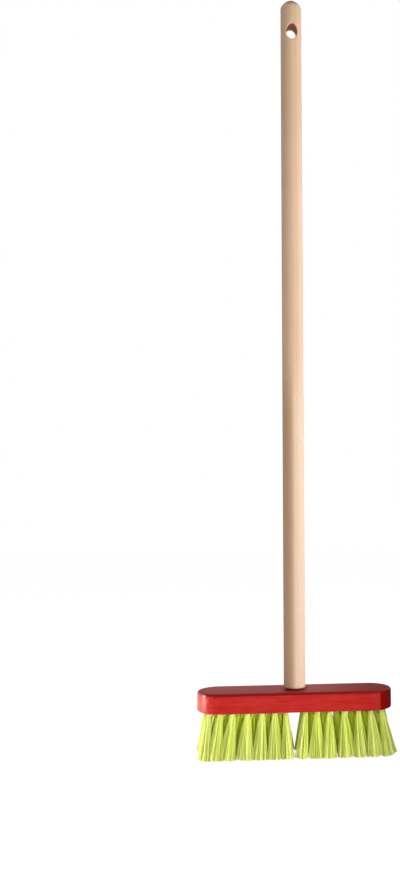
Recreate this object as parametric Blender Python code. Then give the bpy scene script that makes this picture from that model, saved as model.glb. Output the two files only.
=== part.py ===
"""Children's broom: a turned beech stick glued into a red painted block of bristle tufts.

Metres, +Z up. X runs along the block and the front of the broom faces -Y.
The origin is on the floor, under the middle of the block, where the bristle tips stand.
"""
import math

import bmesh
import bpy
from mathutils import Vector

# Gap kept between two pieces that fit into each other
FIT_GAP = 0.0003

# Painted block, a plank with half-round ends
BLOCK_LENGTH = 0.197
BLOCK_WIDTH = 0.044
BLOCK_HEIGHT = 0.0197
BLOCK_TOP_ROUND = 0.0026
BLOCK_FOOT_ROUND = 0.0020
BLOCK_END_STEPS = 16
BLOCK_ROUND_STEPS = 3

# Beech stick, with its tenon in a blind bore of the block
STICK_RADIUS = 0.011
STICK_ABOVE_BLOCK = 0.717
STICK_SIDES = 32
STICK_DOME_HEIGHT = 0.009
STICK_DOME_POWER = 1.5
STICK_DOME_STEPS = 6
STICK_DOME_FLAT_DEG = 12.0
SHOULDER_ABOVE_BLOCK = 0.0016
FOOT_CHAMFER = 0.001
TENON_RADIUS = 0.0085
TENON_CHAMFER = 0.001
BORE_FLOOR = 0.004

# Hang hole, an upright oval from front to back near the stick's top
HANG_HOLE_WIDTH = 0.0116
HANG_HOLE_HEIGHT = 0.0166
HANG_HOLE_BELOW_TIP = 0.0365
HANG_HOLE_SIDES = 24

# Sockets drilled into the block's underside, one for each tuft
SOCKET_RADIUS = 0.00275
SOCKET_SIDES = 12
SOCKET_ROOF = 0.007
ROW_EDGE_INSET = 0.009
ROW_END_INSET = 0.0055
END_TUFT_INSET = 0.0085
MIDDLE_GAP = 0.020
COLUMN_PITCH = 0.0128
COLUMN_DRIFT = 0.0019

# Flat wire anchor driven across each folded tuft, one piece with the tuft here
ANCHOR_LENGTH = 0.0061
ANCHOR_THICKNESS = 0.0005
ANCHOR_HEIGHT = 0.003
FOLD_ABOVE_ANCHOR = 0.002

# Bristles, from the block's underside to the floor; tips lean out by a share of their root's place
BRISTLE_LENGTH = 0.046
STRAND_SIDES = 3
STRAND_RINGS = ((3, 0.00062), (7, 0.00175))
STRAND_RADIUS_AT_ROOT = 0.0005
STRAND_RADIUS_AT_TIP = 0.00095
TUFT_FLARE = 2.6
TIP_LEAN_X = 0.10
TIP_LEAN_Y = 0.35
TIP_GAP_CLOSING = 0.003
STRAND_TURN_DEG = 137.5

# Colours, roughness and metallic value of each material
BEECH = ((0.66, 0.44, 0.27), 0.55, 0.0)
RED_PAINT = ((0.55, 0.03, 0.02), 0.25, 0.0)
LIME_BRISTLE = ((0.62, 0.74, 0.10), 0.45, 0.0)

# Levels and sizes that follow from the ones above
BLOCK_FOOT_Z = BRISTLE_LENGTH
BLOCK_TOP_Z = BLOCK_FOOT_Z + BLOCK_HEIGHT
STICK_TIP_Z = BLOCK_TOP_Z + STICK_ABOVE_BLOCK
BORE_RADIUS = TENON_RADIUS + FIT_GAP
BORE_DEPTH = BLOCK_HEIGHT - BORE_FLOOR
SOCKET_DEPTH = BLOCK_HEIGHT - SOCKET_ROOF
PLUG_RADIUS = SOCKET_RADIUS - FIT_GAP
PLUG_TOP = SOCKET_DEPTH - FIT_GAP
ANCHOR_TOP = PLUG_TOP - FOLD_ABOVE_ANCHOR
SLOT_HALF_WIDTH = ANCHOR_THICKNESS / 2 + FIT_GAP
CUTTER_OVERRUN = 0.002
SMOOTH_LIMIT = math.radians(35.0)


def empty_scene():
    for item in list(bpy.data.objects):
        bpy.data.objects.remove(item, do_unlink=True)


def material(name, finish):
    colour, roughness, metallic = finish
    made = bpy.data.materials.new(name)
    made.use_nodes = True
    shader = made.node_tree.nodes["Principled BSDF"]
    shader.inputs["Base Color"].default_value = (*colour, 1.0)
    shader.inputs["Roughness"].default_value = roughness
    shader.inputs["Metallic"].default_value = metallic
    return made


def object_from(bm, name, finish=None, location=(0.0, 0.0, 0.0), parent=None):
    """Turns a bmesh into a named object with its faces pointing outwards."""
    bmesh.ops.recalc_face_normals(bm, faces=bm.faces)
    mesh = bpy.data.meshes.new(name)
    bm.to_mesh(mesh)
    bm.free()
    made = bpy.data.objects.new(name, mesh)
    bpy.context.collection.objects.link(made)
    made.location = location
    made.parent = parent
    if finish:
        mesh.materials.append(finish)
    return made


def shade_round(made):
    made.data.shade_smooth()
    made.data.set_sharp_from_angle(angle=SMOOTH_LIMIT)


def loft(bm, rings):
    """Joins rings of as many points each into one closed skin, capped at both ends."""
    loops = [[bm.verts.new(point) for point in ring] for ring in rings]
    count = len(loops[0])
    for low, high in zip(loops, loops[1:]):
        for i in range(count):
            j = (i + 1) % count
            bm.faces.new((low[i], low[j], high[j], high[i]))
    bm.faces.new(reversed(loops[0]))
    bm.faces.new(loops[-1])


def circle(radius, z, sides, half_step=False):
    start = math.pi / sides if half_step else 0.0
    angles = [start + math.tau * i / sides for i in range(sides)]
    return [(radius * math.cos(a), radius * math.sin(a), z) for a in angles]


def cut_with(target, cutter):
    cutter.hide_render = True
    cutter.display_type = "WIRE"
    cut = target.modifiers.new(cutter.name, "BOOLEAN")
    cut.operation = "DIFFERENCE"
    cut.solver = "EXACT"
    cut.object = cutter


# Block


def block_outline(inset, z):
    """The block's plan, a straight-sided plank with half-round ends, drawn in by inset."""
    end_radius = BLOCK_WIDTH / 2 - inset
    end_centre = BLOCK_LENGTH / 2 - BLOCK_WIDTH / 2
    points = []
    for side in (1, -1):
        for step in range(BLOCK_END_STEPS + 1):
            angle = -math.pi / 2 + math.pi * step / BLOCK_END_STEPS
            x = side * (end_centre + end_radius * math.cos(angle))
            points.append((x, side * end_radius * math.sin(angle), z))
    return points


def block_rings():
    """Outlines from the underside to the top, with both edges rounded over."""
    rings = []
    for step in range(BLOCK_ROUND_STEPS + 1):
        angle = math.pi / 2 * step / BLOCK_ROUND_STEPS
        inset = BLOCK_FOOT_ROUND * (1 - math.sin(angle))
        rise = BLOCK_FOOT_ROUND * (1 - math.cos(angle))
        rings.append(block_outline(inset, BLOCK_FOOT_Z + rise))
    for step in range(BLOCK_ROUND_STEPS + 1):
        angle = math.pi / 2 * step / BLOCK_ROUND_STEPS
        inset = BLOCK_TOP_ROUND * (1 - math.cos(angle))
        drop = BLOCK_TOP_ROUND * (1 - math.sin(angle))
        rings.append(block_outline(inset, BLOCK_TOP_Z - drop))
    return rings


def socket_outline(x, y, z):
    """A drilled round with the two score marks that the anchor leaves, on its +X and -X sides."""
    reach = ANCHOR_LENGTH / 2 + FIT_GAP
    flat = SOCKET_RADIUS * math.cos(math.pi / SOCKET_SIDES)
    points = []
    for px, py, _ in circle(SOCKET_RADIUS, z, SOCKET_SIDES, half_step=True):
        points.append((px, py))
    half = SOCKET_SIDES // 2
    score = [(flat, -SLOT_HALF_WIDTH), (reach, -SLOT_HALF_WIDTH)]
    score += [(reach, SLOT_HALF_WIDTH), (flat, SLOT_HALF_WIDTH)]
    far_score = [(-px, -py) for px, py in score]
    ordered = score + points[:half] + far_score + points[half:]
    return [(x + px, y + py, z) for px, py in ordered]


def make_block(roots, finish, parent):
    bm = bmesh.new()
    loft(bm, block_rings())
    block = object_from(bm, "block", finish, parent=parent)
    sockets = bmesh.new()
    for x, y in roots:
        mouth = socket_outline(x, y, BLOCK_FOOT_Z - CUTTER_OVERRUN)
        end = socket_outline(x, y, BLOCK_FOOT_Z + SOCKET_DEPTH)
        loft(sockets, (mouth, end))
    cut_with(block, object_from(sockets, "socket_cutter", parent=parent))
    bore = bmesh.new()
    floor = circle(BORE_RADIUS, BLOCK_TOP_Z - BORE_DEPTH, STICK_SIDES)
    mouth = circle(BORE_RADIUS, BLOCK_TOP_Z + CUTTER_OVERRUN, STICK_SIDES)
    loft(bore, (floor, mouth))
    cut_with(block, object_from(bore, "bore_cutter", parent=parent))
    shade_round(block)


# Stick


def stick_profile():
    """Radius and height from the tenon's end, past the chamfered shoulder, to the domed tip."""
    tenon_end = BLOCK_TOP_Z - BORE_DEPTH + FIT_GAP
    shoulder = BLOCK_TOP_Z + SHOULDER_ABOVE_BLOCK
    profile = [
        (TENON_RADIUS - TENON_CHAMFER, tenon_end),
        (TENON_RADIUS, tenon_end + TENON_CHAMFER),
        (TENON_RADIUS, shoulder),
        (STICK_RADIUS - FOOT_CHAMFER, shoulder),
        (STICK_RADIUS, shoulder + FOOT_CHAMFER),
    ]
    dome_base = STICK_TIP_Z - STICK_DOME_HEIGHT
    share = 2 / STICK_DOME_POWER
    for step in range(STICK_DOME_STEPS + 1):
        angle = math.radians(90 - (90 - STICK_DOME_FLAT_DEG) * step / STICK_DOME_STEPS)
        radius = STICK_RADIUS * math.sin(angle) ** share
        rise = STICK_DOME_HEIGHT * max(math.cos(angle), 0.0) ** share
        profile.append((radius, dome_base + rise))
    flat_height = STICK_DOME_HEIGHT * math.cos(math.radians(STICK_DOME_FLAT_DEG)) ** share
    lift = STICK_DOME_HEIGHT / flat_height
    return [(r, dome_base + (z - dome_base) * lift if z > dome_base else z) for r, z in profile]


def make_stick(finish, parent):
    bm = bmesh.new()
    loft(bm, [circle(radius, z, STICK_SIDES) for radius, z in stick_profile()])
    stick = object_from(bm, "handle", finish, parent=parent)
    hole = bmesh.new()
    reach = STICK_RADIUS + CUTTER_OVERRUN
    centre_z = STICK_TIP_Z - HANG_HOLE_BELOW_TIP
    half_width = HANG_HOLE_WIDTH / 2
    half_height = HANG_HOLE_HEIGHT / 2
    unit = circle(1.0, 0.0, HANG_HOLE_SIDES, half_step=True)
    rings = []
    for y in (-reach, reach):
        rings.append([(px * half_width, y, centre_z + pz * half_height) for px, pz, _ in unit])
    loft(hole, rings)
    cut_with(stick, object_from(hole, "hang_hole_cutter", parent=parent))
    shade_round(stick)


# Tufts


def row_offset():
    return BLOCK_WIDTH / 2 - ROW_EDGE_INSET


def outer_columns():
    """Distances from the middle of the tufts in the front and back rows, in one half."""
    first = MIDDLE_GAP / 2
    end_centre = BLOCK_LENGTH / 2 - BLOCK_WIDTH / 2
    end_reach = max(BLOCK_WIDTH / 2 - ROW_END_INSET, row_offset())
    last = end_centre + math.sqrt(end_reach**2 - row_offset() ** 2)
    steps = max(2, round((last - first) / COLUMN_PITCH))
    columns = []
    for step in range(steps + 1):
        share = step / steps
        drift = COLUMN_DRIFT * math.sin(math.tau * share)
        columns.append(first + (last - first) * share - drift)
    return columns


def middle_columns():
    """The middle row stands between the outer columns and ends with one tuft on the round end."""
    outer = outer_columns()
    between = [(a + b) / 2 for a, b in zip(outer, outer[1:])][:-1]
    end = BLOCK_LENGTH / 2 - END_TUFT_INSET
    return between + [(between[-1] + end) / 2, end]


def tuft_rows():
    """Row name to the roots of its tufts, numbered from the left end to the right end."""
    rows = {}
    for name, y, columns in (
        ("front", -row_offset(), outer_columns()),
        ("middle", 0.0, middle_columns()),
        ("back", row_offset(), outer_columns()),
    ):
        xs = [-x for x in reversed(columns)] + columns
        rows[name] = [(x, y) for x in xs]
    return rows


def plug_with_anchor(bm):
    """The folded root that fills the socket, with the anchor's two ends standing out of its sides.

    Its lower end is left open and the open loop is returned.
    """
    low = [bm.verts.new(p) for p in circle(PLUG_RADIUS, 0.0, SOCKET_SIDES, half_step=True)]
    high = [bm.verts.new(p) for p in circle(PLUG_RADIUS, PLUG_TOP, SOCKET_SIDES, half_step=True)]
    bm.faces.new(high)
    anchor_sides = (SOCKET_SIDES // 2 - 1, SOCKET_SIDES - 1)
    for i in range(SOCKET_SIDES):
        j = (i + 1) % SOCKET_SIDES
        corners = (low[i], low[j], high[j], high[i])
        if i not in anchor_sides:
            bm.faces.new(corners)
            continue
        root, end = [], []
        for corner in corners:
            y = math.copysign(ANCHOR_THICKNESS / 2, corner.co.y)
            z = ANCHOR_TOP if corner.co.z > 0 else ANCHOR_TOP - ANCHOR_HEIGHT
            root.append(bm.verts.new((corner.co.x, y, z)))
            end.append(bm.verts.new((math.copysign(ANCHOR_LENGTH / 2, corner.co.x), y, z)))
        for k in range(4):
            m = (k + 1) % 4
            bm.faces.new((corners[k], corners[m], root[m], root[k]))
            bm.faces.new((root[k], root[m], end[m], end[k]))
        bm.faces.new(end)
    return low


def strand_places(turn):
    """Where each strand leaves the plug, as an offset from the tuft's centre, and its own turn."""
    places = []
    for count, radius in STRAND_RINGS:
        for i in range(count):
            angle = turn + math.tau * i / count
            places.append((radius * math.cos(angle), radius * math.sin(angle), angle))
    return places


def strand_section(centre, radius, z, angle):
    points = []
    for i in range(STRAND_SIDES):
        a = angle + math.tau * i / STRAND_SIDES
        points.append((centre[0] + radius * math.cos(a), centre[1] + radius * math.sin(a), z))
    return points


def make_tuft(name, root, turn, finish, parent):
    """One tuft: the plug in its socket and the strands that flare from it down to the floor."""
    mirror_x = -1.0 if root[0] < 0 else 1.0
    mirror_y = -1.0 if root[1] < 0 else 1.0
    lean_x = abs(root[0]) * TIP_LEAN_X - TIP_GAP_CLOSING
    lean_y = abs(root[1]) * TIP_LEAN_Y
    bm = bmesh.new()
    mouth = plug_with_anchor(bm)
    edges = [bm.edges.get((a, b)) for a, b in zip(mouth, mouth[1:] + mouth[:1])]
    strands = []
    for x, y, angle in strand_places(turn):
        tip = (x * TUFT_FLARE + lean_x, y * TUFT_FLARE + lean_y)
        top = [bm.verts.new(p) for p in strand_section((x, y), STRAND_RADIUS_AT_ROOT, 0.0, angle)]
        foot = strand_section(tip, STRAND_RADIUS_AT_TIP, -BRISTLE_LENGTH, angle)
        strands.append((top, [bm.verts.new(p) for p in foot]))
        edges += [bm.edges.new((a, b)) for a, b in zip(top, top[1:] + top[:1])]
    bmesh.ops.triangle_fill(bm, use_beauty=True, edges=edges)
    for top, foot in strands:
        for i in range(STRAND_SIDES):
            j = (i + 1) % STRAND_SIDES
            bm.faces.new((top[i], top[j], foot[j], foot[i]))
        bm.faces.new(foot)
    for vert in bm.verts:
        vert.co = Vector((vert.co.x * mirror_x, vert.co.y * mirror_y, vert.co.z))
    return object_from(bm, name, finish, (root[0], root[1], BLOCK_FOOT_Z), parent)


def make_tufts(rows, finish, parent):
    for row, roots in rows.items():
        for number, root in enumerate(roots, start=1):
            from_middle = min(number, len(roots) + 1 - number)
            turn = math.radians(STRAND_TURN_DEG) * from_middle
            make_tuft(f"tuft_{row}_{number:02d}", root, turn, finish, parent)


def main():
    empty_scene()
    broom = bpy.data.objects.new("broom", None)
    bpy.context.collection.objects.link(broom)
    rows = tuft_rows()
    roots = [root for row in rows.values() for root in row]
    make_block(roots, material("red_paint", RED_PAINT), broom)
    make_stick(material("beech", BEECH), broom)
    make_tufts(rows, material("lime_bristle", LIME_BRISTLE), broom)


main()
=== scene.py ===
"""Children's broom: a beech stick, a red painted block and three rows of lime bristle tufts.

Metres, +Z up. X runs along the block, the front faces -Y and the bristle tips stand on the floor.
"""
import math
import random

import bmesh
import bpy
from mathutils import Matrix, Vector


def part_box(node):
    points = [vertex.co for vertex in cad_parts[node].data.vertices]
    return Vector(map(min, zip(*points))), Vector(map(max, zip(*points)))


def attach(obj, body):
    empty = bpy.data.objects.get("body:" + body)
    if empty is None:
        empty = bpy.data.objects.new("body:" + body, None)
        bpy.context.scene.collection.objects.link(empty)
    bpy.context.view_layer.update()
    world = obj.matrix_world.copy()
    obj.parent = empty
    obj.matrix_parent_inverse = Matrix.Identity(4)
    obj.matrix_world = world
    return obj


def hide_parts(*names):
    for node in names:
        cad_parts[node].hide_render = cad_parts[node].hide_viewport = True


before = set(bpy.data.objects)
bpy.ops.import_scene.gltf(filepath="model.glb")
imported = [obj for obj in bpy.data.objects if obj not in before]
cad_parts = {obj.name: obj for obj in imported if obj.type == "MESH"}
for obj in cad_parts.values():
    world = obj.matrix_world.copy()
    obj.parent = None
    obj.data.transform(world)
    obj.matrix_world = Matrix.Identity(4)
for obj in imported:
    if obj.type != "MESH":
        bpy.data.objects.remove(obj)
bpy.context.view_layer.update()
scene = bpy.context.scene
scene.view_settings.view_transform = "Standard"


# Camera
# It stands low in front of the broom, a little to the left of the stick.
# It looks slightly up and to the right, so the stick rises straight through the picture.
PICTURE_WIDTH = 400
PICTURE_HEIGHT = 872
CAMERA_PLACE = (-0.10068, -1.14064, 0.29538)
CAMERA_YAW = math.radians(-5.187)
CAMERA_PITCH = math.radians(4.191)
CAMERA_ROLL = math.radians(-0.33)
FOCAL_PIXELS = 1109.4
OPTICAL_CENTRE = (295.6, 380.0)
SENSOR_LONG_SIDE = 36.0
NEAREST_SEEN = 0.05
FURTHEST_SEEN = 30.0

camera_data = bpy.data.cameras.new("camera")
camera_data.sensor_width = SENSOR_LONG_SIDE
camera_data.lens = FOCAL_PIXELS * SENSOR_LONG_SIDE / PICTURE_HEIGHT
camera_data.shift_x = (PICTURE_WIDTH / 2 - OPTICAL_CENTRE[0]) / PICTURE_HEIGHT
camera_data.shift_y = (OPTICAL_CENTRE[1] - PICTURE_HEIGHT / 2) / PICTURE_HEIGHT
camera_data.clip_start = NEAREST_SEEN
camera_data.clip_end = FURTHEST_SEEN
camera = bpy.data.objects.new("camera", camera_data)
scene.collection.objects.link(camera)
heading = Matrix.Rotation(CAMERA_YAW, 4, "Z")
tilt = Matrix.Rotation(math.pi / 2 + CAMERA_PITCH, 4, "X")
roll = Matrix.Rotation(CAMERA_ROLL, 4, "Z")
camera.matrix_world = Matrix.Translation(CAMERA_PLACE) @ heading @ tilt @ roll
scene.camera = camera


# Floor, backdrop and lights
# White paper lies under the broom, and the room behind it is white as far as the camera sees.
# A low soft lamp at the right lights it, weaker ones before and behind fill in, and two panels only glint.
# A narrow spot reaches the left end of the head, and a dark card shades the right end.
WHITE = (1.0, 1.0, 1.0, 1.0)
FLOOR_HALF_SIDE = 2.5
FLOOR_COLOUR = (0.80, 0.80, 0.80)
FLOOR_SEEN = (0.30, 0.30, 0.30)
FLOOR_GLOW = 0.91
ROOM_FILL = 0.27
ROOM_SEEN = 1.0
KEY_ANGLE = math.radians(60)
KEY_DISTANCE = 1.80
KEY_HEIGHT = 0.06
KEY_SIZE = 0.60
KEY_LEVEL = 1.20
FILL_ANGLE = math.radians(-11)
FILL_DISTANCE = 1.30
FILL_HEIGHT = 0.32
FILL_SIZE = 0.60
FILL_LEVEL = 0.40
BACK_ANGLE = math.radians(172)
BACK_DISTANCE = 1.30
BACK_HEIGHT = 0.80
BACK_SIZE = 0.60
BACK_LEVEL = 0.50
PANEL_ANGLE = math.radians(98)
PANEL_DISTANCE = 1.00
PANEL_HEIGHT = 0.60
PANEL_SIZE = 0.60
PANEL_TALL = 1.10
PANEL_LEVEL = 1.2
GLINT_ANGLE = math.radians(-82)
GLINT_DISTANCE = 0.252
GLINT_HEIGHT = 0.033
GLINT_SIZE = 0.090
GLINT_TALL = 0.055
GLINT_LEVEL = 0.15
SPOT_PLACE = (-0.60, -0.06, 0.085)
SPOT_AIM = (-0.0985, -0.012, 0.030)
SPOT_CONE = math.radians(9.0)
SPOT_BLEND = 0.5
SPOT_RADIUS = 0.004
SPOT_LEVEL = 1.35
CARD_ANGLE = math.radians(58.7)
CARD_DISTANCE = 0.17
CARD_LEFT = 0.024
CARD_RIGHT = 0.09
CARD_TALL = 0.080
CARD_COLOUR = (0.03, 0.03, 0.03)


def put(tree, kind, inputs=None, **settings):
    """Adds a node, with each input either linked from a socket or set to a value."""
    node = tree.nodes.new(kind)
    for name, value in settings.items():
        setattr(node, name, value)
    for name, value in (inputs or {}).items():
        if isinstance(value, bpy.types.NodeSocket):
            tree.links.new(value, node.inputs[name])
        else:
            node.inputs[name].default_value = value
    return node


def maths(tree, operation, *values):
    """The result of one sum on numbers, each a socket or a plain value."""
    return put(tree, "ShaderNodeMath", dict(enumerate(values)), operation=operation).outputs[0]


def rays_that_see_the_paper(tree):
    """One for rays from the camera and for those that meet gloss or glass, else nought."""
    ray = put(tree, "ShaderNodeLightPath").outputs
    seen_or_gloss = maths(tree, "MAXIMUM", ray["Is Camera Ray"], ray["Is Glossy Ray"])
    return maths(tree, "MAXIMUM", seen_or_gloss, ray["Is Transmission Ray"])


room = bpy.data.worlds.new("white_room")
room.use_nodes = True
air = room.node_tree
air.nodes.clear()
air_lights = put(air, "ShaderNodeBackground", {"Color": WHITE, "Strength": ROOM_FILL}).outputs[0]
air_seen = put(air, "ShaderNodeBackground", {"Color": WHITE, "Strength": ROOM_SEEN}).outputs[0]
air_chosen = put(air, "ShaderNodeMixShader", {0: rays_that_see_the_paper(air), 1: air_lights, 2: air_seen})
put(air, "ShaderNodeOutputWorld", {"Surface": air_chosen.outputs[0]})
scene.world = room

paper = bpy.data.materials.new("white_paper")
paper.use_nodes = True
pulp = paper.node_tree
pulp.nodes.clear()
paper_lit = put(pulp, "ShaderNodeBsdfDiffuse", {"Color": (*FLOOR_COLOUR, 1)}).outputs[0]
paper_shaded = put(pulp, "ShaderNodeBsdfDiffuse", {"Color": (*FLOOR_SEEN, 1)}).outputs[0]
paper_glow = put(pulp, "ShaderNodeEmission", {"Color": WHITE, "Strength": FLOOR_GLOW}).outputs[0]
paper_seen = put(pulp, "ShaderNodeAddShader", {0: paper_shaded, 1: paper_glow}).outputs[0]
paper_chosen = put(pulp, "ShaderNodeMixShader",
                   {0: rays_that_see_the_paper(pulp), 1: paper_lit, 2: paper_seen})
put(pulp, "ShaderNodeOutputMaterial", {"Surface": paper_chosen.outputs[0]})

floor_mesh = bpy.data.meshes.new("floor")
floor_signs = ((-1, -1), (1, -1), (1, 1), (-1, 1))
floor_corners = [(sx * FLOOR_HALF_SIDE, sy * FLOOR_HALF_SIDE, 0.0) for sx, sy in floor_signs]
floor_mesh.from_pydata(floor_corners, [], [(0, 1, 2, 3)])
floor_mesh.materials.append(paper)
floor = bpy.data.objects.new("floor", floor_mesh)
scene.collection.objects.link(floor)


def add_lamp(name, angle, distance, height, size, level, tall=None):
    """A soft oblong lamp that lights a surface facing it to the level given, 1 being plain."""
    lamp_data = bpy.data.lights.new(name, "AREA")
    lamp_data.shape = "RECTANGLE"
    lamp_data.size = size
    lamp_data.size_y = tall or size
    lamp_data.energy = level * math.pi**2 * distance**2
    lamp = bpy.data.objects.new(name, lamp_data)
    place = Vector((math.sin(angle) * distance, -math.cos(angle) * distance, height))
    lamp.location = place
    lamp.visible_camera = False
    lamp.rotation_mode = "QUATERNION"
    lamp.rotation_quaternion = (Vector((0, 0, height)) - place).to_track_quat("-Z", "Y")
    scene.collection.objects.link(lamp)
    return lamp


key_lamp = add_lamp("key_lamp", KEY_ANGLE, KEY_DISTANCE, KEY_HEIGHT, KEY_SIZE, KEY_LEVEL)
fill_lamp = add_lamp("fill_lamp", FILL_ANGLE, FILL_DISTANCE, FILL_HEIGHT, FILL_SIZE, FILL_LEVEL)
back_lamp = add_lamp("back_lamp", BACK_ANGLE, BACK_DISTANCE, BACK_HEIGHT, BACK_SIZE, BACK_LEVEL)
for lamp in (key_lamp, fill_lamp, back_lamp):
    lamp.visible_glossy = False
panel_lamp = add_lamp("panel_lamp", PANEL_ANGLE, PANEL_DISTANCE, PANEL_HEIGHT, PANEL_SIZE, PANEL_LEVEL,
                      PANEL_TALL)
glint_lamp = add_lamp("glint_lamp", GLINT_ANGLE, GLINT_DISTANCE, GLINT_HEIGHT, GLINT_SIZE, GLINT_LEVEL,
                      GLINT_TALL)
for lamp in (panel_lamp, glint_lamp):
    lamp.visible_diffuse = False

# The spot lights a surface facing it to its level, as the soft lamps do
spot_way = Vector(SPOT_AIM) - Vector(SPOT_PLACE)
spot_data = bpy.data.lights.new("end_spot", "SPOT")
spot_data.spot_size = SPOT_CONE
spot_data.spot_blend = SPOT_BLEND
spot_data.shadow_soft_size = SPOT_RADIUS
spot_data.energy = SPOT_LEVEL * 4 * math.pi**2 * spot_way.length_squared
end_spot = bpy.data.objects.new("end_spot", spot_data)
end_spot.location = SPOT_PLACE
end_spot.visible_camera = False
end_spot.rotation_mode = "QUATERNION"
end_spot.rotation_quaternion = spot_way.to_track_quat("-Z", "Y")
scene.collection.objects.link(end_spot)

# The camera doesn't see the card, which stands between the key lamp and the right end of the head
card_black = bpy.data.materials.new("card_black")
card_black.use_nodes = True
card_nodes = card_black.node_tree
card_nodes.nodes.clear()
card_face = put(card_nodes, "ShaderNodeBsdfDiffuse", {"Color": (*CARD_COLOUR, 1)})
put(card_nodes, "ShaderNodeOutputMaterial", {"Surface": card_face.outputs[0]})
card_way = Vector((math.sin(CARD_ANGLE), -math.cos(CARD_ANGLE), 0.0))
card_side = Vector((math.cos(CARD_ANGLE), math.sin(CARD_ANGLE), 0.0))
card_feet = [card_way * CARD_DISTANCE + card_side * across for across in (CARD_LEFT, CARD_RIGHT)]
card_tops = [foot + Vector((0.0, 0.0, CARD_TALL)) for foot in card_feet]
card_mesh = bpy.data.meshes.new("card")
card_mesh.from_pydata([*card_feet, *card_tops[::-1]], [], [(0, 1, 2, 3)])
card_mesh.materials.append(card_black)
card = bpy.data.objects.new("card", card_mesh)
card.visible_camera = False
card.visible_glossy = False
scene.collection.objects.link(card)


# Stick
# The real one is a round beech dowel, turned smooth, domed at the tip and eased at the foot.
# Its thinner tenon is glued into the block, and an oval hole near the tip hangs it on a hook.
STICK_TIP_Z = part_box("handle")[1].z
STICK_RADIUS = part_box("handle")[1].x
TENON_END_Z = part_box("handle")[0].z
BLOCK_TOP_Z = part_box("block")[1].z
TENON_RADIUS = 0.0085
TENON_CHAMFER = 0.001
SHOULDER_GAP = 0.0016
SHOULDER_Z = BLOCK_TOP_Z + SHOULDER_GAP
FOOT_CHAMFER = 0.001
FOOT_CORNER_IN = 0.3 * FOOT_CHAMFER
FOOT_CORNER_UP = 0.4 * FOOT_CHAMFER
DOME_HEIGHT = 0.009
DOME_POWER = 1.5
DOME_STEPS = 14
STICK_SIDES = 96
HOLE_BELOW_TIP = 0.0365
HOLE_HALF_WIDTH = 0.0058
HOLE_HALF_HEIGHT = 0.0083
HOLE_EASE = 0.0009
HOLE_FLARE = 1.35 * HOLE_EASE
HOLE_MARGIN = 3 * HOLE_EASE
HOLE_SIDES = 72
HOLE_EASE_STEPS = 5
HOLE_RINGS_APART = 0.0012
CUT_OVERRUN = 0.002
MERGED_WITHIN = 1e-7
ON_AXIS_WITHIN = 1e-6
SHARP_ANGLE = math.radians(32)
# Each fade gives where a tone starts and where it is full, and each roughness its least and most
BEECH_PALE = (0.72, 0.500, 0.345)
BEECH_DEEP = (0.615, 0.408, 0.264)
BEECH_FLECK = (0.50, 0.31, 0.18)
RING_CENTRE = (0.034, 0.017, 0.0)
RING_TILT = (0.006, 0.010, 0.0)
RING_SHARE = 0.22
FIBRE_SHARE = 0.30
TONE_SHARE = 0.50
FLECK_FADE = (0.64, 0.74)
FLECK_MOST = 0.45
# Painted shade down the left side of the lower stick and a painted highlight down its right side
PAINTED_SHADE_SIDE = (0.79, 0.73, 0.68)
PAINTED_HIGHLIGHT_SIDE = (1.09, 1.16, 1.24)
SIDE_LIGHT_ACROSS = (-0.0045, 0.0018)
SIDE_LIGHT_TOP_FADE = (0.42, 0.33)
# Painted shade on the upper end of the stick
PAINTED_UPPER_SHADE = (0.95, 0.94, 0.90)
UPPER_SHADE_FADE = (0.58, 0.68)
# Painted shade in the gap under the stick's shoulder
NECK_PAINTED_SHADE = (0.20, 0.006, 0.004)
NECK_EDGE = 0.0003
# Painted shade on the crown of the dome
PAINTED_CROWN_SHADE = (0.17, 0.14, 0.10)
TIP_LOW = 0.0070
TIP_HIGH = 0.0036
SANDED_LEVELS = (0.2, 0.9)
SANDED_ROUGH = (0.42, 0.56)
# The wall of each hole is painted dark as the shade inside it, pale only near the rim
BEECH_DRILLED_IN_SHADE = (0.29, 0.105, 0.045)
BEECH_TORN_IN_SHADE = (0.42, 0.17, 0.080)
BEECH_RIM = (0.66, 0.43, 0.28)
RIM_DEPTH = 0.0034
RIM_PALE_DEPTH = 0.3 * RIM_DEPTH
DRILLED_ROUGH = (0.62, 0.85)
LEVEL_ONLY = (1.0, 1.0, 0.0)


def mesh_object(name, bm, *materials):
    """A smooth shaded object at the origin from a bmesh, with its faces pointing out."""
    bmesh.ops.remove_doubles(bm, verts=bm.verts, dist=MERGED_WITHIN)
    bmesh.ops.recalc_face_normals(bm, faces=bm.faces)
    mesh = bpy.data.meshes.new(name)
    bm.to_mesh(mesh)
    bm.free()
    mesh.shade_smooth()
    for item in materials:
        mesh.materials.append(item)
    made = bpy.data.objects.new(name, mesh)
    scene.collection.objects.link(made)
    return made


def skin(bm, rings):
    """Joins rings of as many points each into a closed skin with a cap at both ends."""
    loops = [[bm.verts.new(point) for point in ring] for ring in rings]
    count = len(loops[0])
    for low, high in zip(loops, loops[1:]):
        for i in range(count):
            j = (i + 1) % count
            bm.faces.new((low[i], low[j], high[j], high[i]))
    bm.faces.new(reversed(loops[0]))
    bm.faces.new(loops[-1])


def settle(made):
    """Turns the object's live modifiers into plain mesh and marks its sharp edges."""
    depsgraph = bpy.context.evaluated_depsgraph_get()
    plain = bpy.data.meshes.new_from_object(made.evaluated_get(depsgraph))
    made.modifiers.clear()
    made.data = plain
    plain.name = made.name
    plain.shade_smooth()
    plain.set_sharp_from_angle(angle=SHARP_ANGLE)


def carve(made, cutter):
    """Cuts the cutter out of the object, and keeps the cutter's own finish on the walls."""
    cut = made.modifiers.new(cutter.name, "BOOLEAN")
    cut.operation = "DIFFERENCE"
    cut.solver = "EXACT"
    cut.material_mode = "TRANSFER"
    cut.object = cutter
    settle(made)
    bpy.data.objects.remove(cutter)


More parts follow.
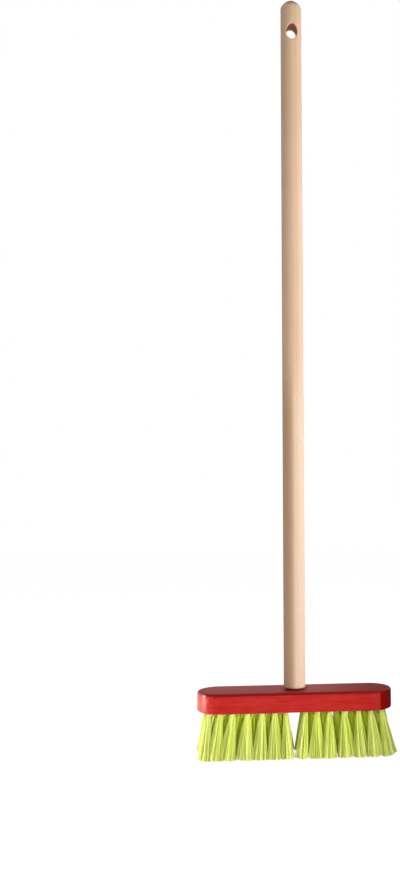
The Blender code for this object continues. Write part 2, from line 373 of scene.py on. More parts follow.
def new_finish(name):
    """A material, its node tree, and the place on the piece that its patterns follow."""
    material = bpy.data.materials.new(name)
    material.use_nodes = True
    tree = material.node_tree
    return material, tree, put(tree, "ShaderNodeTexCoord").outputs["Object"]


def noise(tree, place, scale, detail, stretch=None, roughness=0.5):
    """Noise with that many changes to a metre, drawn out along the axes where stretch is small."""
    if stretch:
        place = put(tree, "ShaderNodeMapping", {"Vector": place, "Scale": stretch}).outputs[0]
    return put(tree, "ShaderNodeTexNoise", {"Vector": place, "Scale": scale, "Detail": detail,
                                            "Roughness": roughness}).outputs[0]


def ramp(tree, value, start, end, low=0.0, high=1.0, smooth=False):
    """A number that goes from low to high while the value goes from start to end."""
    inputs = {"Value": value, "From Min": start, "From Max": end, "To Min": low, "To Max": high}
    way = "SMOOTHSTEP" if smooth else "LINEAR"
    return put(tree, "ShaderNodeMapRange", inputs, interpolation_type=way).outputs[0]


# A Mix node takes numbers at its inputs 2 and 3 and colours at 6 and 7, and gives a colour at output 2
def between(tree, share, first, second):
    """The number that lies so far from the first to the second."""
    return put(tree, "ShaderNodeMix", {0: share, 2: first, 3: second}).outputs[0]


def coloured(tree, share, first, second, kind="MIX"):
    """The first colour, mixed or multiplied with so much of the second, each a socket or a colour."""
    inputs = {0: share}
    for slot, colour in ((6, first), (7, second)):
        inputs[slot] = colour if isinstance(colour, bpy.types.NodeSocket) else (*colour, 1)
    return put(tree, "ShaderNodeMix", inputs, data_type="RGBA", blend_type=kind).outputs[2]


def vectors(tree, operation, *values):
    """The result of one sum on vectors, each a socket or a plain value."""
    return put(tree, "ShaderNodeVectorMath", dict(enumerate(values)), operation=operation).outputs[0]


def length(tree, vector):
    """How long a vector is."""
    return put(tree, "ShaderNodeVectorMath", {0: vector}, operation="LENGTH").outputs["Value"]


def dress(tree, colour, rough, gloss, relief, strength, depth):
    """Gives a finish its colour, roughness and gloss, and a relief of that strength and depth."""
    shader = tree.nodes["Principled BSDF"]
    bump = put(tree, "ShaderNodeBump", {"Strength": strength, "Distance": depth, "Height": relief})
    tree.links.new(colour, shader.inputs["Base Color"])
    tree.links.new(rough, shader.inputs["Roughness"])
    tree.links.new(bump.outputs[0], shader.inputs["Normal"])
    shader.inputs["Specular IOR Level"].default_value = gloss


def stick_profile():
    """Radius and height, from the tenon's end up to the tip."""
    points = [
        (TENON_RADIUS - TENON_CHAMFER, TENON_END_Z),
        (TENON_RADIUS, TENON_END_Z + TENON_CHAMFER),
        (TENON_RADIUS, BLOCK_TOP_Z),
        (TENON_RADIUS, SHOULDER_Z),
        (STICK_RADIUS - FOOT_CHAMFER, SHOULDER_Z),
        (STICK_RADIUS - FOOT_CORNER_IN, SHOULDER_Z + FOOT_CORNER_UP),
        (STICK_RADIUS, SHOULDER_Z + FOOT_CHAMFER),
        (STICK_RADIUS, SHOULDER_Z + 2 * FOOT_CHAMFER),
    ]
    hole_z = STICK_TIP_Z - HOLE_BELOW_TIP
    reach = HOLE_HALF_HEIGHT + HOLE_MARGIN
    rings = math.ceil(2 * reach / HOLE_RINGS_APART)
    for step in range(rings + 1):
        points.append((STICK_RADIUS, hole_z - reach + 2 * reach * step / rings))
    share = 2 / DOME_POWER
    for step in range(DOME_STEPS):
        angle = math.pi / 2 * (1 - step / DOME_STEPS)
        rise = DOME_HEIGHT * max(math.cos(angle), 0.0) ** share
        points.append((STICK_RADIUS * math.sin(angle) ** share, STICK_TIP_Z - DOME_HEIGHT + rise))
    return points


stick_rings = []
for radius, z in stick_profile():
    angles = [math.tau * i / STICK_SIDES for i in range(STICK_SIDES)]
    stick_rings.append([(radius * math.cos(a), radius * math.sin(a), z) for a in angles])
stick_bm = bmesh.new()
skin(stick_bm, stick_rings)
tip_face = max(stick_bm.faces, key=lambda face: face.calc_center_median().z)
bmesh.ops.poke(stick_bm, faces=[tip_face])
for vert in stick_bm.verts:
    if vert.co.xy.length < ON_AXIS_WITHIN and vert.co.z > STICK_TIP_Z - DOME_HEIGHT:
        vert.co.z = STICK_TIP_Z

beech, wood, wood_place = new_finish("sanded_beech")
# Growth rings, cut almost along their length, wander slowly up the stick
ring_place = put(wood, "ShaderNodeMapping", {"Vector": wood_place, "Location": RING_CENTRE,
                                             "Rotation": RING_TILT, "Scale": (1.0, 1.0, 0.05)})
rings = put(wood, "ShaderNodeTexWave", {"Vector": ring_place.outputs[0], "Scale": 62.0, "Distortion": 3.2,
                                        "Detail": 2.0, "Detail Scale": 0.5},
            wave_type="RINGS", rings_direction="Z").outputs["Fac"]
# Fine fibre runs along the stick, and the tone changes slowly from one hand's breadth to the next
fibre = noise(wood, wood_place, scale=900.0, detail=4.0, roughness=0.65, stretch=(1.0, 1.0, 0.03))
tone = noise(wood, wood_place, scale=45.0, detail=2.0, stretch=(1.0, 1.0, 0.18))
wood_level = maths(wood, "MULTIPLY", rings, RING_SHARE)
wood_level = maths(wood, "MULTIPLY_ADD", fibre, FIBRE_SHARE, wood_level)
wood_level = maths(wood, "MULTIPLY_ADD", tone, TONE_SHARE, wood_level)
wood_colour = coloured(wood, wood_level, BEECH_PALE, BEECH_DEEP)
# In the lower half one side is painted browner as painted shade and the other paler as a painted highlight
wood_parts = put(wood, "ShaderNodeSeparateXYZ", {0: wood_place}).outputs
side_light_tone = coloured(wood, ramp(wood, wood_parts["X"], *SIDE_LIGHT_ACROSS, smooth=True), PAINTED_SHADE_SIDE, PAINTED_HIGHLIGHT_SIDE)
side_light_share = ramp(wood, wood_parts["Z"], *SIDE_LIGHT_TOP_FADE, smooth=True)
wood_colour = coloured(wood, side_light_share, wood_colour, side_light_tone, "MULTIPLY")
# The upper end is painted darker, as painted shade where the lamps' light falls off with height
upper_shade_share = ramp(wood, wood_parts["Z"], *UPPER_SHADE_FADE, smooth=True)
wood_colour = coloured(wood, upper_shade_share, wood_colour, PAINTED_UPPER_SHADE, "MULTIPLY")
# Short dark flecks are the mark of beech
fleck = noise(wood, wood_place, scale=1500.0, detail=1.0, stretch=(1.0, 1.0, 0.14))
wood_colour = coloured(wood, ramp(wood, fleck, *FLECK_FADE, high=FLECK_MOST), wood_colour, BEECH_FLECK)
# The neck under the shoulder is painted dark red, as painted shade in the gap reddened by light off the block
neck_shade_share = ramp(wood, wood_parts["Z"], SHOULDER_Z + NECK_EDGE, SHOULDER_Z - NECK_EDGE)
wood_colour = coloured(wood, neck_shade_share, wood_colour, NECK_PAINTED_SHADE)
# The crown of the dome, which faces up, is painted dark grey as painted shade
crown_shade_share = ramp(wood, wood_parts["Z"], STICK_TIP_Z - TIP_LOW, STICK_TIP_Z - TIP_HIGH, smooth=True)
wood_colour = coloured(wood, crown_shade_share, wood_colour, PAINTED_CROWN_SHADE)
wood_rough = ramp(wood, wood_level, *SANDED_LEVELS, *SANDED_ROUGH)
dress(wood, wood_colour, wood_rough, gloss=0.25, relief=wood_level, strength=0.35, depth=0.00012)

drilled, bore, bore_place = new_finish("drilled_beech_in_painted_shade")
# The drill has torn the wall in short streaks along the fibre
tear = noise(bore, bore_place, scale=1400.0, detail=3.0, stretch=(1.0, 1.0, 0.25))
# Both tones of the wall are dark, as painted shade inside the hole
bore_colour = coloured(bore, tear, BEECH_DRILLED_IN_SHADE, BEECH_TORN_IN_SHADE)
# Deeper in, the wall is painted dark as painted shade inside the hole, and near the stick's skin it keeps a
# pale beech tone
bore_reach = length(bore, vectors(bore, "MULTIPLY", bore_place, LEVEL_ONLY))
unshaded_rim_share = ramp(bore, bore_reach, STICK_RADIUS - RIM_DEPTH, STICK_RADIUS - RIM_PALE_DEPTH)
bore_colour = coloured(bore, unshaded_rim_share, bore_colour, BEECH_RIM)
bore_rough = ramp(bore, tear, 0.0, 1.0, *DRILLED_ROUGH)
dress(bore, bore_colour, bore_rough, gloss=0.5, relief=tear, strength=0.6, depth=0.0002)

stick = mesh_object("stick", stick_bm, beech, drilled)


def hole_ring(spread, depth):
    """One ring of the hang hole's cutter for each side, at that depth under the stick's skin."""
    front, back = [], []
    for step in range(HOLE_SIDES):
        a = math.tau * (step + 0.5) / HOLE_SIDES
        normal = Vector((math.cos(a) * HOLE_HALF_HEIGHT, math.sin(a) * HOLE_HALF_WIDTH)).normalized()
        x = HOLE_HALF_WIDTH * math.cos(a) + normal.x * spread
        z = STICK_TIP_Z - HOLE_BELOW_TIP + HOLE_HALF_HEIGHT * math.sin(a) + normal.y * spread
        y = math.sqrt(STICK_RADIUS**2 - x**2) - depth
        front.append((x, -y, z))
        back.append((x, y, z))
    return front, back


hole_steps = [(HOLE_FLARE, -CUT_OVERRUN), (HOLE_EASE, 0.0)]
for step in range(1, HOLE_EASE_STEPS + 1):
    turn = math.pi / 2 * step / HOLE_EASE_STEPS
    hole_steps.append((HOLE_EASE * (1 - math.sin(turn)), HOLE_EASE * (1 - math.cos(turn))))
hole_fronts, hole_backs = [], []
for spread, depth in hole_steps:
    front_ring, back_ring = hole_ring(spread, depth)
    hole_fronts.append(front_ring)
    hole_backs.append(back_ring)
hole_bm = bmesh.new()
skin(hole_bm, hole_fronts + hole_backs[::-1])
carve(stick, mesh_object("hole_cutter", hole_bm, drilled))
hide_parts("handle")
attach(stick, "root")


# Block
# The real one is a beech plank with half-round ends and eased edges, dipped in red paint.
# A bore takes the stick's tenon, and 42 sockets in its underside each take a folded tuft.
BLOCK_LOW, BLOCK_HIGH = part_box("block")
BLOCK_HALF_LENGTH = BLOCK_HIGH.x
BLOCK_HALF_WIDTH = BLOCK_HIGH.y
TOP_EASE = 0.0026
UNDER_EASE = 0.0020
END_STEPS = 48
EASE_STEPS = 7
BORE_RADIUS = 0.0088
BORE_FLOOR = 0.004
BORE_SIDES = 48
SOCKET_RADIUS = 0.00275
SOCKET_DEPTH = 0.0127
SOCKET_SIDES = 20
PLUG_TOP_WITHIN = 0.0001
RED_PAINT = (0.445, 0.005, 0.003)
RED_WORN = (0.53, 0.030, 0.022)
STREAK_SHARE = 0.55
CLOUD_SHARE = 0.45
WORN_FADE = (0.42, 0.62)
WORN_MOST = 0.8
RED_EDGE = (0.22, 0.002, 0.001)
EDGE_TOP_FADE = (0.00002, 0.00025)
EDGE_LOW_FADE = (1.15 * TOP_EASE, 0.7 * TOP_EASE)
# Painted shade and a painted grey reflection for the top
RED_TOP_SHADE_AND_REFLECTION = (0.30, 0.016, 0.012)
TOP_FADE = (0.0004, 0.0001)
# A painted highlight on the glossy end
RED_PAINTED_HIGHLIGHT = (0.50, 0.088, 0.072)
GLOSS_END = 0.0080
GLOSS_BLEND = 0.0010
GLOSS_OFF_TOP = (0.0002, 0.0012)
# A painted contact shadow round the neck
RED_PAINTED_CONTACT_SHADOW = (0.15, 0.003, 0.002)
CONTACT_SHADOW_REACH = 0.0165
# Painted shade for the dull end and the top towards it
RED_END_PAINTED_SHADE = (0.30, 0.003, 0.001)
RED_TOP_END_PAINTED_SHADE = (0.20, 0.008, 0.005)
DULL_SIDE = 0.0134
SIDE_END_X = BLOCK_HALF_LENGTH - DULL_SIDE
SIDE_END_BLEND = 0.0020
DULL_TOP = 0.0060
TOP_END_X = BLOCK_HALF_LENGTH - DULL_TOP
TOP_END_START = 0.2 * TOP_END_X
PAINT_LEVELS = (0.3, 0.7)
PAINT_ROUGH = (0.32, 0.44)
RUBBED_ROUGH = (0.58, 0.85)
EDGE_ROUGH = 0.75
GLOSSY_ROUGH = 0.24
PEEL_SHARE = 0.3
# A deeper painted shade for the dull end's own finish
RED_END_DEEPER_SHADE = (0.255, 0.002, 0.001)
SHADED_END_ROUGH = (0.78, 0.95)
SHADED_END_BELOW_TOP = 0.3 * TOP_EASE

red_paint, paint, paint_place = new_finish("red_paint_on_wood")
# Wood grain shows through as faint lines along the block, most where the coat is thin
streak = noise(paint, paint_place, scale=620.0, detail=4.0, roughness=0.6, stretch=(0.035, 1.0, 1.0))
cloud = noise(paint, paint_place, scale=90.0, detail=2.0, stretch=(0.4, 1.0, 1.0))
paint_level = maths(paint, "MULTIPLY", streak, STREAK_SHARE)
paint_level = maths(paint, "MULTIPLY_ADD", cloud, CLOUD_SHARE, paint_level)
worn_share = ramp(paint, paint_level, *WORN_FADE, high=WORN_MOST)
red = coloured(paint, worn_share, RED_PAINT, RED_WORN)
# Along the rounded top edge the paint is darker and dull
paint_parts = put(paint, "ShaderNodeSeparateXYZ", {0: paint_place}).outputs
under_top = maths(paint, "SUBTRACT", BLOCK_HIGH.z, paint_parts["Z"])
edge_share = maths(paint, "MULTIPLY", ramp(paint, under_top, *EDGE_TOP_FADE),
                   ramp(paint, under_top, *EDGE_LOW_FADE))
red = coloured(paint, edge_share, red, RED_EDGE)
# The top is rough, and painted darker and browner as painted shade with a painted grey reflection
top_share = ramp(paint, under_top, *TOP_FADE)
red = coloured(paint, top_share, red, RED_TOP_SHADE_AND_REFLECTION)
# Over one end the paint is glossy, and painted pale pink as a painted highlight
gloss_start = GLOSS_END - BLOCK_HALF_LENGTH
gloss_and_highlight_share = maths(paint, "MULTIPLY",
                    ramp(paint, paint_parts["X"], gloss_start + GLOSS_BLEND, gloss_start, smooth=True),
                    ramp(paint, under_top, *GLOSS_OFF_TOP))
red = coloured(paint, gloss_and_highlight_share, red, RED_PAINTED_HIGHLIGHT)
# Round the neck the top is painted dark red, as a painted contact shadow
from_neck = length(paint, vectors(paint, "MULTIPLY", paint_place, LEVEL_ONLY))
contact_shadow_near = ramp(paint, from_neck, CONTACT_SHADOW_REACH, STICK_RADIUS, smooth=True)
contact_shadow_share = maths(paint, "MULTIPLY", contact_shadow_near, top_share)
red = coloured(paint, contact_shadow_share, red, RED_PAINTED_CONTACT_SHADOW)
# Towards the other end the paint is painted darker as painted shade, slowly along the top and just before the
# end on the side
side_end = ramp(paint, paint_parts["X"], SIDE_END_X - SIDE_END_BLEND, SIDE_END_X, smooth=True)
top_end = ramp(paint, paint_parts["X"], TOP_END_START, TOP_END_X, smooth=True)
end_shade_share = between(paint, top_share, side_end, top_end)
red = coloured(paint, end_shade_share, red, coloured(paint, top_share, RED_END_PAINTED_SHADE, RED_TOP_END_PAINTED_SHADE))
# The side has a soft gloss and the highlighted end a bright one, and the top and its edge are dull
paint_rough = ramp(paint, paint_level, *PAINT_LEVELS, *PAINT_ROUGH)
paint_rough = between(paint, top_share, paint_rough, ramp(paint, top_end, 0.0, 1.0, *RUBBED_ROUGH))
paint_rough = between(paint, edge_share, paint_rough, EDGE_ROUGH)
paint_rough = between(paint, gloss_and_highlight_share, paint_rough, GLOSSY_ROUGH)
orange_peel = noise(paint, paint_place, scale=700.0, detail=1.0)
paint_relief = maths(paint, "MULTIPLY_ADD", orange_peel, PEEL_SHARE, streak)
dress(paint, red, paint_rough, gloss=0.26, relief=paint_relief, strength=0.4, depth=0.00010)

shaded_end_paint, shaded_end, shaded_end_place = new_finish("red_paint_in_painted_shade")
# The dull end is rough and painted darker still, as painted shade
pores = noise(shaded_end, shaded_end_place, scale=900.0, detail=3.0, stretch=(1.0, 1.0, 0.4))
shaded_end_colour = coloured(shaded_end, pores, RED_END_PAINTED_SHADE, RED_END_DEEPER_SHADE)
shaded_end_rough = ramp(shaded_end, pores, 0.0, 1.0, *SHADED_END_ROUGH)
dress(shaded_end, shaded_end_colour, shaded_end_rough, gloss=0.04, relief=pores, strength=0.4, depth=0.00010)


def plank_outline(inset, z):
    """The block's plan, straight sides with half-round ends, drawn in by inset."""
    radius = BLOCK_HALF_WIDTH - inset
    centre = BLOCK_HALF_LENGTH - BLOCK_HALF_WIDTH
    points = []
    for side in (1, -1):
        for step in range(END_STEPS + 1):
            a = -math.pi / 2 + math.pi * step / END_STEPS
            points.append((side * (centre + radius * math.cos(a)), side * radius * math.sin(a), z))
    return points


under_rings, top_rings = [], []
for step in range(EASE_STEPS + 1):
    turn = math.pi / 2 * step / EASE_STEPS
    slow, fast = 1 - math.cos(turn), 1 - math.sin(turn)
    under_rings.append(plank_outline(UNDER_EASE * fast, BLOCK_LOW.z + UNDER_EASE * slow))
    top_rings.append(plank_outline(TOP_EASE * slow, BLOCK_HIGH.z - TOP_EASE * fast))
block_bm = bmesh.new()
skin(block_bm, under_rings + top_rings)
block_finishes = [red_paint, drilled, shaded_end_paint]
# The dull end's side takes the darker painted-shade finish
for face in block_bm.faces:
    middle = face.calc_center_median()
    if middle.x > SIDE_END_X and middle.z < BLOCK_HIGH.z - SHADED_END_BELOW_TOP:
        face.material_index = block_finishes.index(shaded_end_paint)
block = mesh_object("painted_block", block_bm, *block_finishes)


def round_cutter(bm, x, y, radius, low, high, sides):
    """Adds an upright round peg to the cutter, for one drilled hole."""
    angles = [math.tau * (i + 0.5) / sides for i in range(sides)]
    circle = [(x + radius * math.cos(a), y + radius * math.sin(a)) for a in angles]
    skin(bm, [[(*point, z) for point in circle] for z in (low, high)])


def tuft_names(row):
    """The CAD tufts of one row, from the left end to the right end."""
    return sorted(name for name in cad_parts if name.startswith(f"tuft_{row}_"))


def tuft_root(name):
    """Where a tuft leaves the block, read from the top of its CAD solid, which is the round plug."""
    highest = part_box(name)[1].z
    top = [v.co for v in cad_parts[name].data.vertices if v.co.z > highest - PLUG_TOP_WITHIN]
    return sum(p.x for p in top) / len(top), sum(p.y for p in top) / len(top)


cut_bm = bmesh.new()
round_cutter(cut_bm, 0.0, 0.0, BORE_RADIUS, BLOCK_LOW.z + BORE_FLOOR, BLOCK_HIGH.z + CUT_OVERRUN, BORE_SIDES)
for row in ("front", "middle", "back"):
    for name in tuft_names(row):
        x, y = tuft_root(name)
        round_cutter(cut_bm, x, y, SOCKET_RADIUS, BLOCK_LOW.z - CUT_OVERRUN, BLOCK_LOW.z + SOCKET_DEPTH,
                     SOCKET_SIDES)
carve(block, mesh_object("block_cutter", cut_bm, drilled))
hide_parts("block")
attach(block, "root")


# Bristles
# Each tuft is a bundle of lime plastic filaments, folded in half and stapled into its socket.
# The filaments fan out straight from the socket and are trimmed level at the floor.
STRANDS = 240
CLUMPS = 30
GOLDEN_ANGLE = 2.399963
ROW_SEEDS = {"front": 3, "middle": 5, "back": 8}
# Each kind of chance draws with a salt of its own, the same in every row
SALTS = {"own place": 11, "clump astray": 17, "uneven cut": 23, "bending": 37, "clump tint": 53,
         "strand tint": 59, "wild clump": 71}
# Where each front tuft's tips stand along the block, and how far they fan out to each side
FRONT_TIPS = (
    (-0.0921, 0.0066), (-0.0812, 0.0083), (-0.0687, 0.0080), (-0.0512, 0.0084), (-0.0369, 0.0078),
    (-0.0214, 0.0084), (-0.0083, 0.0058), (0.0057, 0.0058), (0.0207, 0.0075), (0.0330, 0.0078),
    (0.0502, 0.0094), (0.0653, 0.0078), (0.0790, 0.0084), (0.0938, 0.0085),
)
# The two inner tufts of the back row lean apart, so the gap between the halves stays open
INNER_BACK_TIPS = {"tuft_back_07": (-0.0070, 0.0080), "tuft_back_08": (0.0103, 0.0090)}
LEAN_ALONG = 0.10
LEAN_ACROSS = 0.26
LEAN_VARIES = 0.0016
STEADIER_ACROSS = 3
GAP_CLOSING = 0.003
BACK_OUTWARD = 0.0022
FAN_ALONG = 0.0092
FAN_ACROSS = 0.0068
LEAST_FAN = 0.0062
FURTHEST_LEFT = 0.0972
FURTHEST_RIGHT = 0.0995
FAR_POWER = 4.0
FAR_MOST = 1.3
UNEVEN_POWER = 2.0
CLUMP_TINT = 0.65
STRAND_TINT = 0.35
LIME_BRIGHT = (0.945, 0.985, 0.365)
LIME_DEEP = (0.76, 0.91, 0.080)
# Painted light shining through the tips
LIME_PAINTED_BACKLIGHT = (0.98, 0.995, 0.34)
# Painted shade between the rows
LIME_PAINTED_INNER_SHADE = (0.86, 0.94, 0.22)
LIME_AT_MOUTH = (1.00, 0.79, 0.37)
TINT_LEVELS = (0.30, 1.05)
SPECKLE_SHARE = 0.4
BACKLIT_TIP_HEIGHT = 0.024
BACKLIT_TIP_MOST = 0.5
INNER_ACROSS = (0.0150, 0.0105)
INNER_ALONG = (0.088, 0.076)
INNER_MOST = 0.9
MOUTH_START = 0.0036
MOUTH_FULL = 0.4 * MOUTH_START
LIME_ROUGH = (0.46, 0.62)

lime, plastic, plastic_place = new_finish("lime_filament")
tint = put(plastic, "ShaderNodeAttribute", attribute_name="tint", attribute_type="GEOMETRY").outputs["Fac"]
speckle = noise(plastic, plastic_place, scale=260.0, detail=1.0)
tint_level = maths(plastic, "MULTIPLY_ADD", speckle, SPECKLE_SHARE, tint)
lime_colour = coloured(plastic, ramp(plastic, tint_level, *TINT_LEVELS), LIME_BRIGHT, LIME_DEEP)
# The plastic is painted paler towards the tips, as painted light shining through them
plastic_parts = put(plastic, "ShaderNodeSeparateXYZ", {0: plastic_place}).outputs
backlit_tip_share = ramp(plastic, plastic_parts["Z"], BACKLIT_TIP_HEIGHT, 0.0, high=BACKLIT_TIP_MOST)
lime_colour = coloured(plastic, backlit_tip_share, lime_colour, LIME_PAINTED_BACKLIGHT)
# Between the rows, away from the head's ends and outer sides, the plastic is painted deeper as painted shade
across = maths(plastic, "ABSOLUTE", plastic_parts["Y"])
along = maths(plastic, "ABSOLUTE", plastic_parts["X"])
off_sides = ramp(plastic, across, *INNER_ACROSS, high=INNER_MOST, smooth=True)
off_ends = ramp(plastic, along, *INNER_ALONG, smooth=True)
inner_shade_share = maths(plastic, "MULTIPLY", off_sides, off_ends)
lime_colour = coloured(plastic, inner_shade_share, lime_colour, LIME_PAINTED_INNER_SHADE, "MULTIPLY")
# Just below the socket's mouth it is paler and warmer
mouth_share = ramp(plastic, plastic_parts["Z"], BLOCK_LOW.z - MOUTH_START, BLOCK_LOW.z - MOUTH_FULL)
lime_colour = coloured(plastic, mouth_share, lime_colour, LIME_AT_MOUTH)
lime_rough = ramp(plastic, speckle, 0.0, 1.0, *LIME_ROUGH)
dress(plastic, lime_colour, lime_rough, gloss=0.28, relief=speckle, strength=0.15, depth=0.00005)


def tuft_tree():
    """Geometry Nodes that grow the strands of every tuft from one point at each socket.

    Each point brings where its tips stand (tip), how far they fan out (fan) and its own turn.
    """
    tree = bpy.data.node_groups.new("tufts", "GeometryNodeTree")
    interface = tree.interface
    interface.new_socket("Sockets", in_out="INPUT", socket_type="NodeSocketGeometry")
    named = {
        "Strands": ("NodeSocketInt", STRANDS),
        "Clumps": ("NodeSocketInt", CLUMPS),
        "Points Along": ("NodeSocketInt", 6),
        "Strand Radius": ("NodeSocketFloat", 0.00022),
        "Root Radius": ("NodeSocketFloat", 0.0018),
        "Hidden Length": ("NodeSocketFloat", 0.006),
        "Root Spread": ("NodeSocketFloat", 0.0003),
        "Tip Spread": ("NodeSocketFloat", 0.0011),
        "Clump Stray": ("NodeSocketFloat", 0.0009),
        "Wild Share": ("NodeSocketFloat", 0.05),
        "Wild Stray": ("NodeSocketFloat", 0.0040),
        "Flare": ("NodeSocketFloat", 0.90),
        "Far Reach": ("NodeSocketFloat", 0.012),
        "Far Rise": ("NodeSocketFloat", 0.0030),
        "Bend": ("NodeSocketFloat", 0.0004),
        "Uneven Cut": ("NodeSocketFloat", 0.0009),
        "Seed": ("NodeSocketInt", 1),
    }
    for name, (kind, value) in named.items():
        interface.new_socket(name, in_out="INPUT", socket_type=kind).default_value = value
    interface.new_socket("Material", in_out="INPUT", socket_type="NodeSocketMaterial")
    interface.new_socket("Bristles", in_out="OUTPUT", socket_type="NodeSocketGeometry")
    given = tree.nodes.new("NodeGroupInput").outputs

    def num(operation, *values):
        return maths(tree, operation, *values)

    def vec(operation, *values):
        return vectors(tree, operation, *values)

    def scaled(vector, amount):
        return put(tree, "ShaderNodeVectorMath", {0: vector, "Scale": amount}, operation="SCALE").outputs[0]

    def combined(x, y, z):
        return put(tree, "ShaderNodeCombineXYZ", {0: x, 1: y, 2: z}).outputs[0]

    def named_value(name, kind):
        return put(tree, "GeometryNodeInputNamedAttribute", {"Name": name}, data_type=kind).outputs[0]

    def stored(geometry, name, value, kind):
        return put(tree, "GeometryNodeStoreNamedAttribute",
                   {"Geometry": geometry, "Name": name, "Value": value}, data_type=kind,
                   domain="POINT").outputs[0]

    def chance(what, which, low=-1.0):
        """Three numbers from low to one, the same each run for the strand or clump of that number."""
        return put(tree, "FunctionNodeRandomValue",
                   {"Min": (low,) * 3, "Max": (1.0,) * 3, "ID": which,
                    "Seed": num("ADD", given["Seed"], SALTS[what])}, data_type="FLOAT_VECTOR").outputs[0]

    def first_part(vector):
        return put(tree, "ShaderNodeSeparateXYZ", {0: vector}).outputs[0]

    index = tree.nodes.new("GeometryNodeInputIndex").outputs[0]
    place = tree.nodes.new("GeometryNodeInputPosition").outputs[0]
    roots = put(tree, "GeometryNodeMeshToPoints", {"Mesh": given["Sockets"]}).outputs[0]
    bundle = put(tree, "GeometryNodeDuplicateElements", {"Geometry": roots, "Amount": given["Strands"]},
                 domain="POINT")
    # Strands keep together in clumps, and the clumps fill the socket, each a golden angle further round
    clump = num("FLOORED_MODULO", bundle.outputs["Duplicate Index"], given["Clumps"])
    share = num("SQRT", num("DIVIDE", num("ADD", clump, 0.5), given["Clumps"]))
    angle = num("MULTIPLY_ADD", clump, GOLDEN_ANGLE, named_value("turn", "FLOAT"))
    spoke = scaled(combined(num("COSINE", angle), num("SINE", angle), 0.0), share)
    tuft = num("FLOOR", num("DIVIDE", index, given["Strands"]))
    bunch = num("MULTIPLY_ADD", tuft, given["Clumps"], clump)
    own = vec("MULTIPLY", chance("own place", index), LEVEL_ONLY)
    # A few clumps have been pushed aside in use and cross their neighbours
    wild = num("LESS_THAN", first_part(chance("wild clump", bunch, 0.0)), given["Wild Share"])
    straying = num("MULTIPLY_ADD", wild, given["Wild Stray"], given["Clump Stray"])
    astray = scaled(vec("MULTIPLY", chance("clump astray", bunch), LEVEL_ONLY), straying)
    root_place = vec("ADD", place, scaled(spoke, given["Root Radius"]))
    root_place = vec("ADD", root_place, scaled(own, given["Root Spread"]))
    tip_place = vec("ADD", place, named_value("tip", "FLOAT_VECTOR"))
    tip_place = vec("ADD", tip_place, vec("MULTIPLY", spoke, named_value("fan", "FLOAT_VECTOR")))
    tip_place = vec("ADD", tip_place, vec("ADD", scaled(own, given["Tip Spread"]), astray))
    # A strand that leans far out ends a little higher, and the cut is never quite level
    reach = length(tree, vec("MULTIPLY", vec("SUBTRACT", tip_place, root_place), LEVEL_ONLY))
    rounding = num("MINIMUM", num("POWER", num("DIVIDE", reach, given["Far Reach"]), FAR_POWER), FAR_MOST)
    uneven = num("POWER", num("ABSOLUTE", first_part(chance("uneven cut", index))), UNEVEN_POWER)
    uneven = num("MULTIPLY", uneven, given["Uneven Cut"])
    tip_rise = num("MULTIPLY_ADD", rounding, given["Far Rise"], uneven)
    tip_place = vec("ADD", tip_place, combined(0.0, 0.0, tip_rise))
    bending = scaled(vec("MULTIPLY", chance("bending", index), LEVEL_ONLY), given["Bend"])
    tint = num("MULTIPLY", first_part(chance("strand tint", index, 0.0)), STRAND_TINT)
    tint = num("MULTIPLY_ADD", first_part(chance("clump tint", bunch, 0.0)), CLUMP_TINT, tint)
    strands = stored(bundle.outputs["Geometry"], "strand", index, "INT")
    strands = stored(strands, "root_place", root_place, "FLOAT_VECTOR")
    strands = stored(strands, "tip_place", tip_place, "FLOAT_VECTOR")
    strands = stored(strands, "bending", bending, "FLOAT_VECTOR")
    strands = stored(strands, "tint", tint, "FLOAT")
    steps = put(tree, "GeometryNodeDuplicateElements", {"Geometry": strands, "Amount": given["Points Along"]},
                domain="POINT")
    step = steps.outputs["Duplicate Index"]
    # The first point of a strand is up in the socket, and the others divide its free length
    way = num("DIVIDE", num("SUBTRACT", step, 1.0), num("SUBTRACT", given["Points Along"], 2.0))
    way = num("MAXIMUM", way, 0.0)
    lift = combined(0.0, 0.0, num("MULTIPLY", num("LESS_THAN", step, 0.5), given["Hidden Length"]))
    hump = num("MULTIPLY", num("MULTIPLY", way, 4.0), num("SUBTRACT", 1.0, way))
    spread = num("POWER", way, given["Flare"])
    root = named_value("root_place", "FLOAT_VECTOR")
    run = vec("SUBTRACT", named_value("tip_place", "FLOAT_VECTOR"), root)
    straight = vec("MULTIPLY_ADD", run, combined(spread, spread, way), root)
    curved = vec("ADD", straight, scaled(named_value("bending", "FLOAT_VECTOR"), hump))
    moved = put(tree, "GeometryNodeSetPosition", {"Geometry": steps.outputs["Geometry"],
                                                  "Position": vec("ADD", curved, lift)}).outputs[0]
    lines = put(tree, "GeometryNodePointsToCurves",
                {"Points": moved, "Curve Group ID": named_value("strand", "INT"), "Weight": step}).outputs[0]
    wire = put(tree, "GeometryNodeCurvePrimitiveCircle", {"Resolution": 4, "Radius": given["Strand Radius"]},
               mode="RADIUS").outputs[0]
    wires = put(tree, "GeometryNodeCurveToMesh",
                {"Curve": lines, "Profile Curve": wire, "Fill Caps": True}).outputs[0]
    real = put(tree, "GeometryNodeRealizeInstances", {"Geometry": wires}).outputs[0]
    dressed = put(tree, "GeometryNodeSetMaterial", {"Geometry": real, "Material": given["Material"]})
    put(tree, "NodeGroupOutput", {"Bristles": dressed.outputs[0]})
    return tree


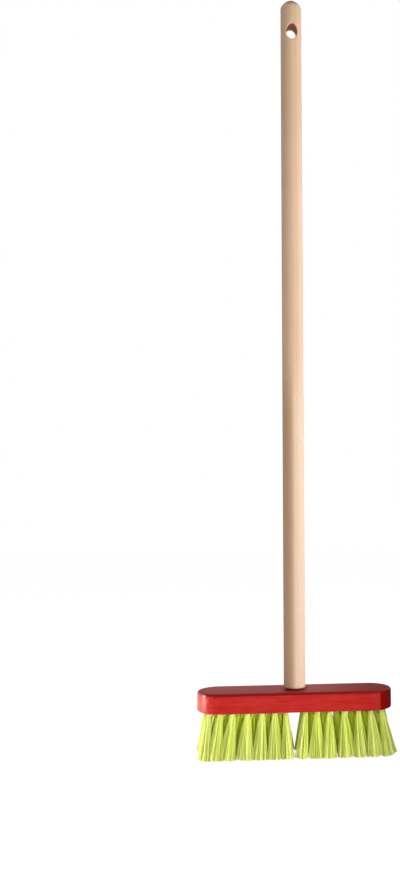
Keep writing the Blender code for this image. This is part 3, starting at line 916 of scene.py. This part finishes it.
def tuft_aims(row, chances):
    """Root, tip offset, fan and turn of each tuft in a row, from the left end to the right end."""
    aims = []
    for number, name in enumerate(tuft_names(row)):
        x, y = tuft_root(name)
        if row == "front":
            tip_x, fan_x = FRONT_TIPS[number]
        else:
            tip_x = x * (1 + LEAN_ALONG) + math.copysign(BACK_OUTWARD if row == "back" else -GAP_CLOSING, x)
            tip_x += chances.uniform(-LEAN_VARIES, LEAN_VARIES)
            tip_x = max(LEAST_FAN - FURTHEST_LEFT, min(FURTHEST_RIGHT - LEAST_FAN, tip_x))
            fan_x = min(FAN_ALONG, tip_x + FURTHEST_LEFT, FURTHEST_RIGHT - tip_x)
            tip_x, fan_x = INNER_BACK_TIPS.get(name, (tip_x, fan_x))
        tip_y = y * (1 + LEAN_ACROSS) + chances.uniform(-LEAN_VARIES, LEAN_VARIES) / STEADIER_ACROSS
        tip_way = (tip_x - x, tip_y - y, -BLOCK_LOW.z)
        aims.append(((x, y, BLOCK_LOW.z), tip_way, (fan_x, FAN_ACROSS, 0.0), chances.uniform(0.0, math.tau)))
    return aims


def grow_row(row, tree, seed):
    """One row of tufts as a plain mesh, which stands for that row's CAD tufts."""
    roots, tips, fans, turns = zip(*tuft_aims(row, random.Random(seed)))
    mesh = bpy.data.meshes.new(f"bristles_{row}")
    mesh.from_pydata(roots, [], [])
    for name, ways in (("tip", tips), ("fan", fans)):
        values = mesh.attributes.new(name, "FLOAT_VECTOR", "POINT")
        for item, way in zip(values.data, ways):
            item.vector = way
    values = mesh.attributes.new("turn", "FLOAT", "POINT")
    for item, turn in zip(values.data, turns):
        item.value = turn
    bristles = bpy.data.objects.new(f"bristles_{row}", mesh)
    scene.collection.objects.link(bristles)
    growing = bristles.modifiers.new("tufts", "NODES")
    growing.node_group = tree
    inputs = {item.name: item.identifier for item in tree.interface.items_tree if item.in_out == "INPUT"}
    growing[inputs["Seed"]] = seed
    growing[inputs["Material"]] = lime
    depsgraph = bpy.context.evaluated_depsgraph_get()
    grown = bpy.data.meshes.new_from_object(bristles.evaluated_get(depsgraph))
    bristles.modifiers.clear()
    bristles.data = grown
    grown.name = bristles.name
    grown.shade_smooth()
    for name in ("tip", "fan", "turn", "strand", "root_place", "tip_place", "bending"):
        if name in grown.attributes:
            grown.attributes.remove(grown.attributes[name])
    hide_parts(*tuft_names(row))
    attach(bristles, "root")


tree_of_tufts = tuft_tree()
for row, seed in ROW_SEEDS.items():
    grow_row(row, tree_of_tufts, seed)
